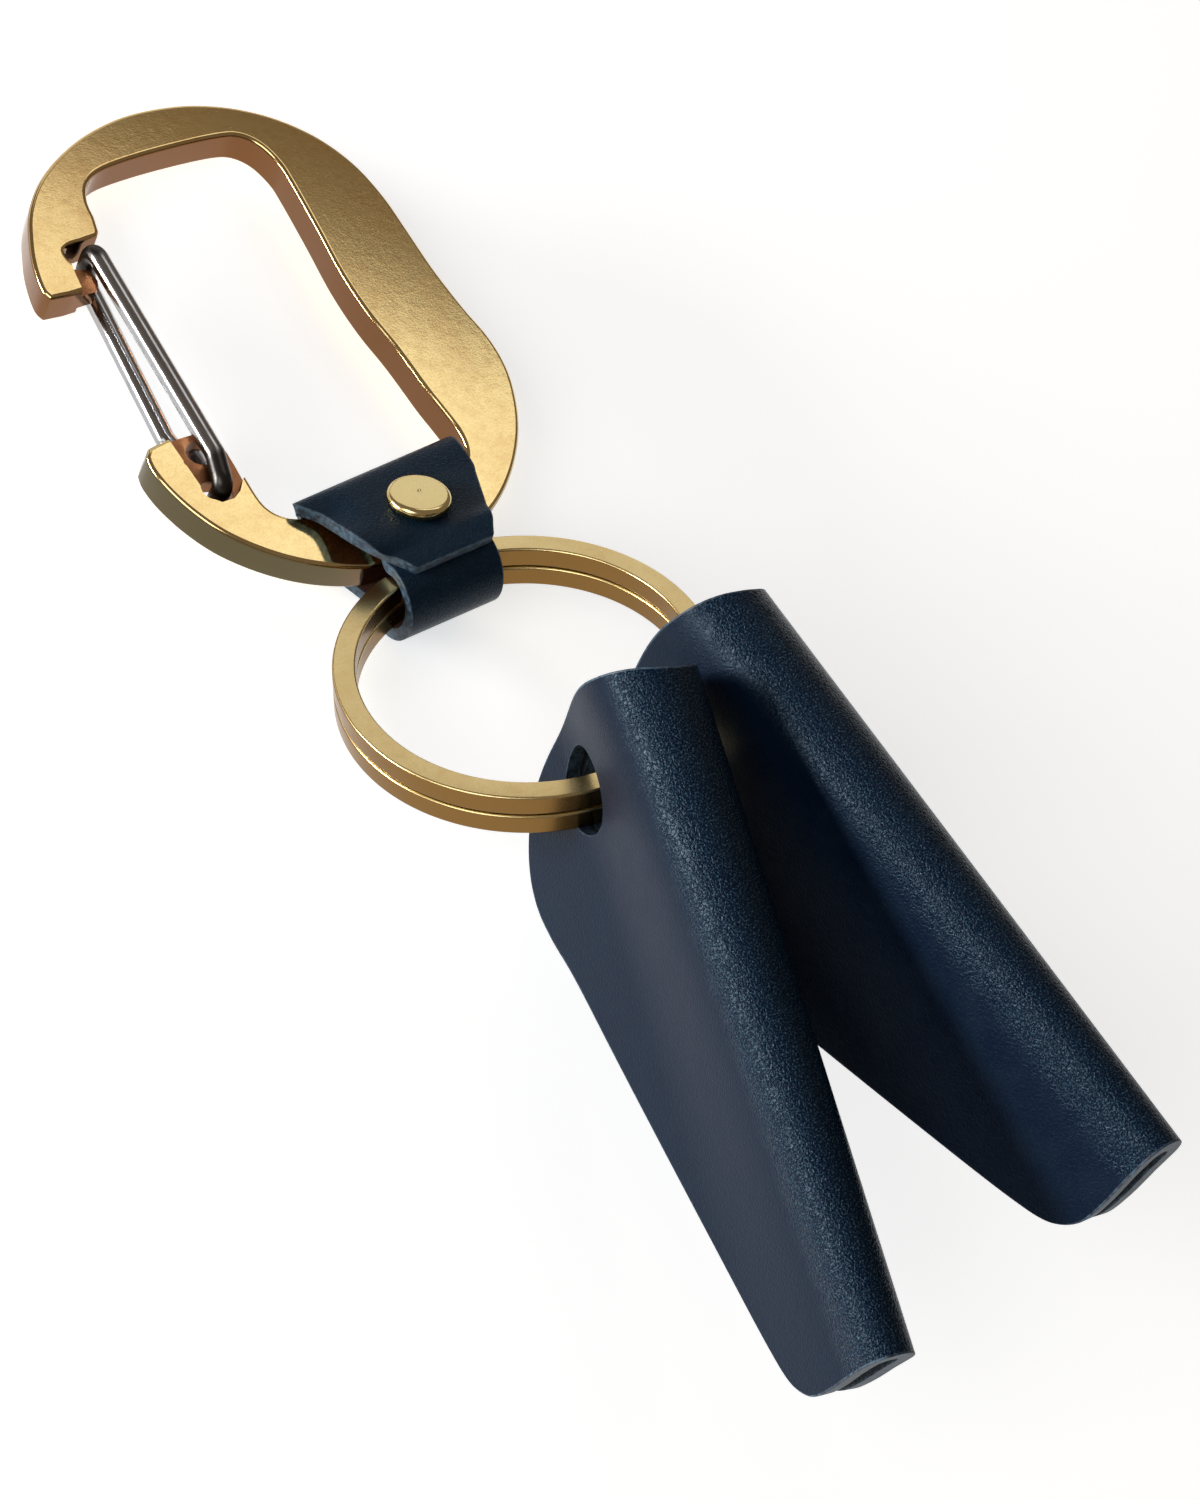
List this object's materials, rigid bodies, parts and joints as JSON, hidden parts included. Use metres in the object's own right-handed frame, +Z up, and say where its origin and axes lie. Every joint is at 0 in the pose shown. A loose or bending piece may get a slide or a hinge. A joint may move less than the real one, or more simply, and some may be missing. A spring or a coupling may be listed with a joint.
{
  "type": "key holder",
  "caption": "Brass carabiner with a wire gate, leather strap and split ring that carries two folded leather key covers.",
  "frame": {"origin": "on the strap rivet's axis, at the lowest face of the holder", "axes": "+Z up from the surface the holder lies on, square to the carabiner's plate; +Y from the split ring to the carabiner's closed top; +X from the gate to the solid spine"},
  "size_m": [0.0374, 0.1303, 0.0386],
  "materials": {
    "carabiner_brass": "tumbled, satin, slightly worn",
    "gate_steel": "drawn wire",
    "strap_leather": "navy, burnished edges",
    "rivet_brass": "polished",
    "ring_brass": "polished, lightly worn",
    "cover_leather": "navy, semi-gloss, grained along the fold"
  },
  "bodies": {
    "carabiner": {"carabiner_body": "carabiner_brass", "strap": "strap_leather", "rivet_cap": "rivet_brass", "rivet_socket": "rivet_brass", "rivet_post": "rivet_brass", "rivet_base_cap": "rivet_brass"},
    "gate": {"gate_wire": "gate_steel"},
    "ring": {"split_ring": "ring_brass"},
    "cover_front": {"key_cover_front": "cover_leather"},
    "cover_back": {"key_cover_back": "cover_leather"}
  },
  "joints": [
    {"name": "gate_hinge", "type": "hinge", "parent": "carabiner", "child": "gate", "pos_m": [-0.01382, 0.01056, 0.00416], "axis": [0, 0, -1], "range_deg": [0, 20], "stiffness_Nm_per_rad": 0.02, "springref_deg": -17.19},
    {"name": "ring_swing", "type": "hinge", "parent": "carabiner", "child": "ring", "pos_m": [-0.00032, -0.00559, 0.00507], "axis": [-0.989, 0.0056, -0.1475], "range_deg": [-20, 35]},
    {"name": "cover_front_swing", "type": "hinge", "parent": "ring", "child": "cover_front", "pos_m": [-0.0047, -0.03273, 0.01674], "axis": [-0.9649, 0.2461, 0.0912], "range_deg": [-12, 30]},
    {"name": "cover_back_swing", "type": "hinge", "parent": "ring", "child": "cover_back", "pos_m": [0.00383, -0.03163, 0.01719], "axis": [-0.943, 0.0732, 0.3247], "range_deg": [-12, 30]}
  ]
}
